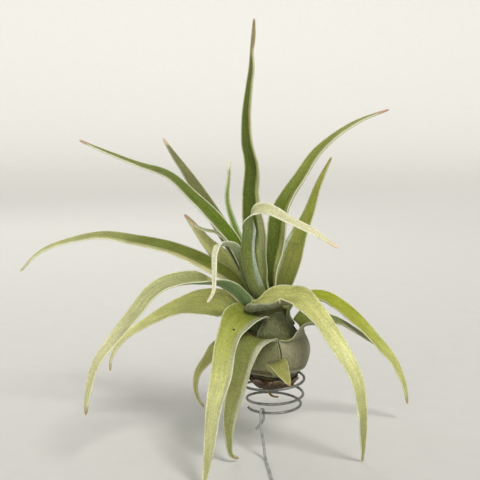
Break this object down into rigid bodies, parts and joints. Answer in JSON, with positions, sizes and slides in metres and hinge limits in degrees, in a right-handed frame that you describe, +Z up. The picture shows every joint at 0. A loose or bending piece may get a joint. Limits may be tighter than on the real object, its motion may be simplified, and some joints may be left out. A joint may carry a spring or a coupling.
{
  "type": "air plant",
  "caption": "Air plant with long arching channelled leaves on a swollen bulb, held from below by a coil of wire with a hook wire.",
  "frame": {"origin": "centre of the whole plant's outline seen from above, on the surface it rests on", "axes": "+Z up along the tallest leaf, +X to the right and -Y toward the viewer of the picture"},
  "size_m": [0.2542, 0.1452, 0.2606],
  "materials": {
    "leaf": "matte leaf with fine pale scales",
    "leaf_pale": "matte cream leaf",
    "bulb": "matte grey-olive sheath",
    "husk": "dry and rough",
    "wire_dull": "dull grey",
    "wire_bright": "bright galvanised"
  },
  "bodies": {
    "root": {"leaf_spire": "leaf", "leaf_right_high": "leaf", "leaf_right_back": "leaf", "leaf_front_arch": "leaf_pale", "leaf_centre_thin": "leaf", "leaf_left_high": "leaf", "leaf_left_back": "leaf", "leaf_left_short": "leaf", "leaf_left_thin": "leaf", "leaf_left_long": "leaf", "leaf_left_front": "leaf", "leaf_left_low": "leaf", "leaf_front_long": "leaf", "leaf_front_hang": "leaf", "leaf_small_tip": "leaf", "leaf_right_front": "leaf", "leaf_right_droop": "leaf", "leaf_right_low": "leaf", "leaf_left_small": "leaf", "leaf_hook_tip": "leaf_pale", "leaf_back_prop": "leaf", "leaf_back_droop": "leaf", "bulb_core": "bulb", "base_husk": "husk", "sheath_upper": "bulb", "root_tendril": "husk", "wire_coil": "wire_dull", "wire_hook": "wire_bright"}
  },
  "joints": []
}
